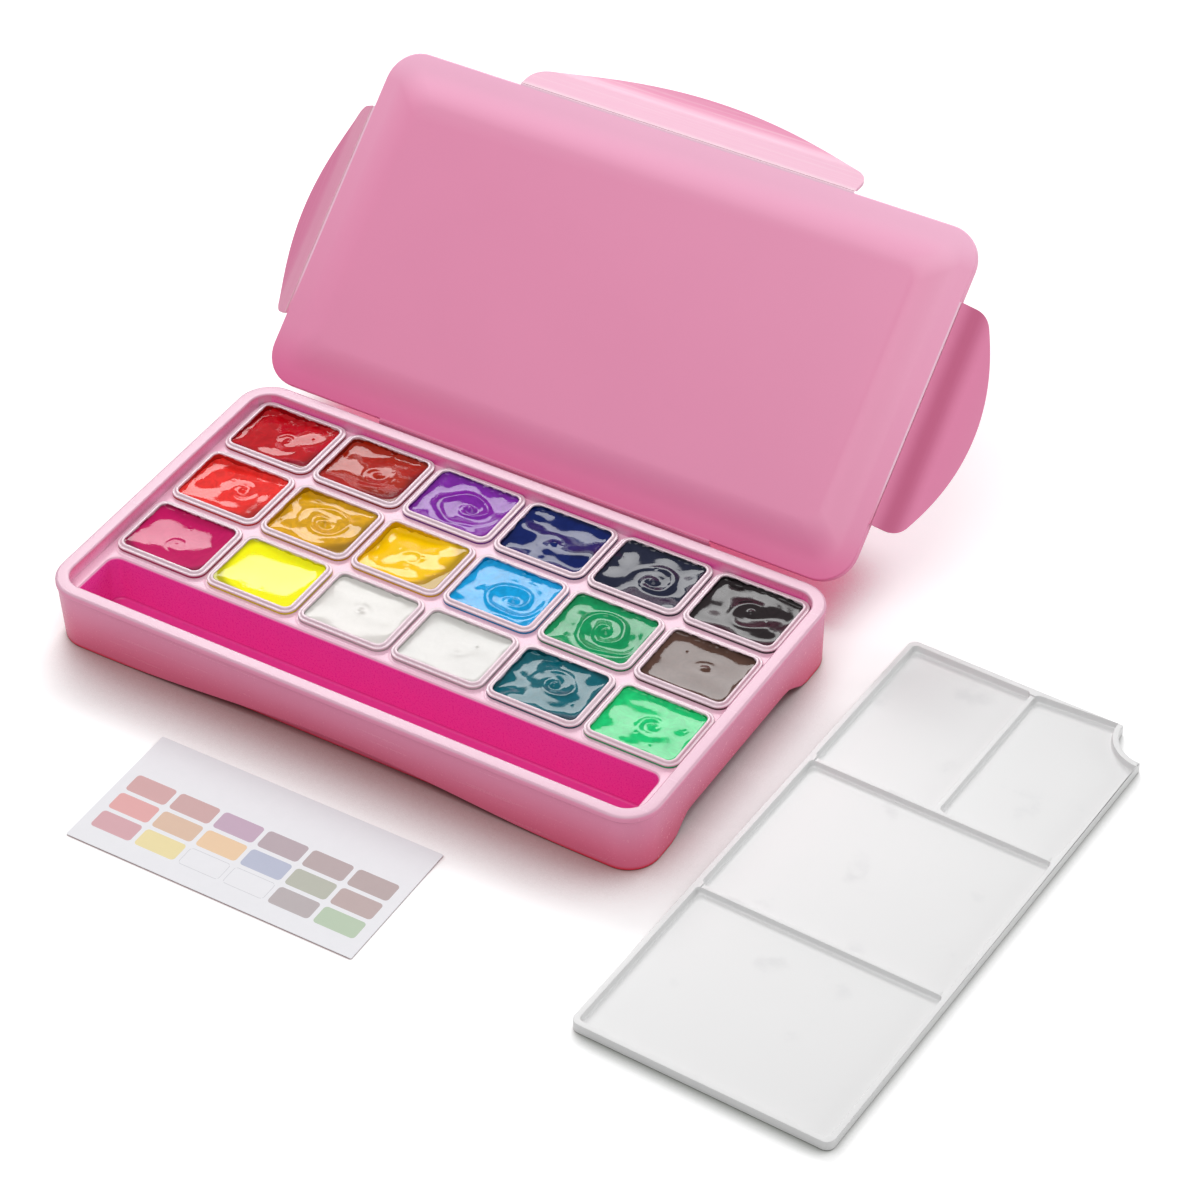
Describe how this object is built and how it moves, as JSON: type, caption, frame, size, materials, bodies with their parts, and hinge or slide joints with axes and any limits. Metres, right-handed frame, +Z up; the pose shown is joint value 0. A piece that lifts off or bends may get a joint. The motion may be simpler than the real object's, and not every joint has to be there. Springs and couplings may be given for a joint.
{
  "type": "gouache paint set box",
  "caption": "Shallow pink plastic paint box with lift-out cups of gouache, a brush trough, a snap-latched lid on living hinges, a white mixing palette and a blank colour card.",
  "frame": {"origin": "centre of the case's footprint, on the surface that it stands on", "axes": "+Z up, +X along the box to the user's right, +Y from the brush trough to the lid's hinge"},
  "size_m": [0.4824, 0.4261, 0.1437],
  "materials": {
    "case_plastic": "gloss",
    "lid_plastic": "satin",
    "cup_plastic": "gloss",
    "palette_plastic": "gloss",
    "card_paper": "matte",
    "paint_deep_red": "wet gloss",
    "paint_burnt_sienna": "wet gloss",
    "paint_violet": "wet gloss",
    "paint_ultramarine": "wet gloss",
    "paint_indigo": "wet gloss",
    "paint_black": "wet gloss",
    "paint_vermilion": "wet gloss",
    "paint_ochre": "wet gloss",
    "paint_orange_yellow": "wet gloss",
    "paint_sky_blue": "wet gloss",
    "paint_green": "wet gloss",
    "paint_umber": "wet gloss",
    "paint_rose": "wet gloss",
    "paint_lemon_yellow": "wet gloss",
    "paint_white": "wet gloss",
    "paint_zinc_white": "wet gloss",
    "paint_teal": "wet gloss",
    "paint_bright_green": "wet gloss"
  },
  "bodies": {
    "case": {"tray_shell": "case_plastic", "back_latch": "lid_plastic"},
    "lid": {"lid_panel": "lid_plastic"},
    "front_flap": {"front_latch": "lid_plastic"},
    "left_flap": {"left_latch": "lid_plastic"},
    "right_flap": {"right_latch": "lid_plastic"},
    "mixing_palette": {"palette": "palette_plastic"},
    "card": {"colour_card": "card_paper"},
    "pot_deep_red": {"cup_deep_red": "cup_plastic", "paint_deep_red": "paint_deep_red"},
    "pot_burnt_sienna": {"cup_burnt_sienna": "cup_plastic", "paint_burnt_sienna": "paint_burnt_sienna"},
    "pot_violet": {"cup_violet": "cup_plastic", "paint_violet": "paint_violet"},
    "pot_ultramarine": {"cup_ultramarine": "cup_plastic", "paint_ultramarine": "paint_ultramarine"},
    "pot_indigo": {"cup_indigo": "cup_plastic", "paint_indigo": "paint_indigo"},
    "pot_black": {"cup_black": "cup_plastic", "paint_black": "paint_black"},
    "pot_vermilion": {"cup_vermilion": "cup_plastic", "paint_vermilion": "paint_vermilion"},
    "pot_ochre": {"cup_ochre": "cup_plastic", "paint_ochre": "paint_ochre"},
    "pot_orange_yellow": {"cup_orange_yellow": "cup_plastic", "paint_orange_yellow": "paint_orange_yellow"},
    "pot_sky_blue": {"cup_sky_blue": "cup_plastic", "paint_sky_blue": "paint_sky_blue"},
    "pot_green": {"cup_green": "cup_plastic", "paint_green": "paint_green"},
    "pot_umber": {"cup_umber": "cup_plastic", "paint_umber": "paint_umber"},
    "pot_rose": {"cup_rose": "cup_plastic", "paint_rose": "paint_rose"},
    "pot_lemon_yellow": {"cup_lemon_yellow": "cup_plastic", "paint_lemon_yellow": "paint_lemon_yellow"},
    "pot_white": {"cup_white": "cup_plastic", "paint_white": "paint_white"},
    "pot_zinc_white": {"cup_zinc_white": "cup_plastic", "paint_zinc_white": "paint_zinc_white"},
    "pot_teal": {"cup_teal": "cup_plastic", "paint_teal": "paint_teal"},
    "pot_bright_green": {"cup_bright_green": "cup_plastic", "paint_bright_green": "paint_bright_green"}
  },
  "joints": [
    {"name": "lid_hinge", "type": "hinge", "parent": "case", "child": "lid", "pos_m": [0, 0.0853, 0.03255], "axis": [-1, 0, 0], "range_deg": [-140, 0]},
    {"name": "front_latch_hinge", "type": "hinge", "parent": "lid", "child": "front_flap", "pos_m": [0, 0.21599, 0.14221], "axis": [-1, 0, 0], "range_deg": [-132.6, 0]},
    {"name": "left_latch_hinge", "type": "hinge", "parent": "lid", "child": "left_flap", "pos_m": [-0.1558, 0.15064, 0.08738], "axis": [0, -0.766, -0.6428], "range_deg": [-132.6, 0]},
    {"name": "right_latch_hinge", "type": "hinge", "parent": "lid", "child": "right_flap", "pos_m": [0.1558, 0.15064, 0.08738], "axis": [0, 0.766, 0.6428], "range_deg": [-132.6, 0]},
    {"name": "lift_deep_red", "type": "slide", "parent": "case", "child": "pot_deep_red", "axis": [0, 0, 1], "range_m": [0, 0.045]},
    {"name": "lift_burnt_sienna", "type": "slide", "parent": "case", "child": "pot_burnt_sienna", "axis": [0, 0, 1], "range_m": [0, 0.045]},
    {"name": "lift_violet", "type": "slide", "parent": "case", "child": "pot_violet", "axis": [0, 0, 1], "range_m": [0, 0.045]},
    {"name": "lift_ultramarine", "type": "slide", "parent": "case", "child": "pot_ultramarine", "axis": [0, 0, 1], "range_m": [0, 0.045]},
    {"name": "lift_indigo", "type": "slide", "parent": "case", "child": "pot_indigo", "axis": [0, 0, 1], "range_m": [0, 0.045]},
    {"name": "lift_black", "type": "slide", "parent": "case", "child": "pot_black", "axis": [0, 0, 1], "range_m": [0, 0.045]},
    {"name": "lift_vermilion", "type": "slide", "parent": "case", "child": "pot_vermilion", "axis": [0, 0, 1], "range_m": [0, 0.045]},
    {"name": "lift_ochre", "type": "slide", "parent": "case", "child": "pot_ochre", "axis": [0, 0, 1], "range_m": [0, 0.045]},
    {"name": "lift_orange_yellow", "type": "slide", "parent": "case", "child": "pot_orange_yellow", "axis": [0, 0, 1], "range_m": [0, 0.045]},
    {"name": "lift_sky_blue", "type": "slide", "parent": "case", "child": "pot_sky_blue", "axis": [0, 0, 1], "range_m": [0, 0.045]},
    {"name": "lift_green", "type": "slide", "parent": "case", "child": "pot_green", "axis": [0, 0, 1], "range_m": [0, 0.045]},
    {"name": "lift_umber", "type": "slide", "parent": "case", "child": "pot_umber", "axis": [0, 0, 1], "range_m": [0, 0.045]},
    {"name": "lift_rose", "type": "slide", "parent": "case", "child": "pot_rose", "axis": [0, 0, 1], "range_m": [0, 0.045]},
    {"name": "lift_lemon_yellow", "type": "slide", "parent": "case", "child": "pot_lemon_yellow", "axis": [0, 0, 1], "range_m": [0, 0.045]},
    {"name": "lift_white", "type": "slide", "parent": "case", "child": "pot_white", "axis": [0, 0, 1], "range_m": [0, 0.045]},
    {"name": "lift_zinc_white", "type": "slide", "parent": "case", "child": "pot_zinc_white", "axis": [0, 0, 1], "range_m": [0, 0.045]},
    {"name": "lift_teal", "type": "slide", "parent": "case", "child": "pot_teal", "axis": [0, 0, 1], "range_m": [0, 0.045]},
    {"name": "lift_bright_green", "type": "slide", "parent": "case", "child": "pot_bright_green", "axis": [0, 0, 1], "range_m": [0, 0.045]},
    {"name": "palette_lift", "type": "slide", "parent": "case", "child": "mixing_palette", "axis": [0, 0, 1], "range_m": [0, 0.12]},
    {"name": "card_lift", "type": "slide", "parent": "case", "child": "card", "axis": [0, 0, 1], "range_m": [0, 0.12]}
  ]
}
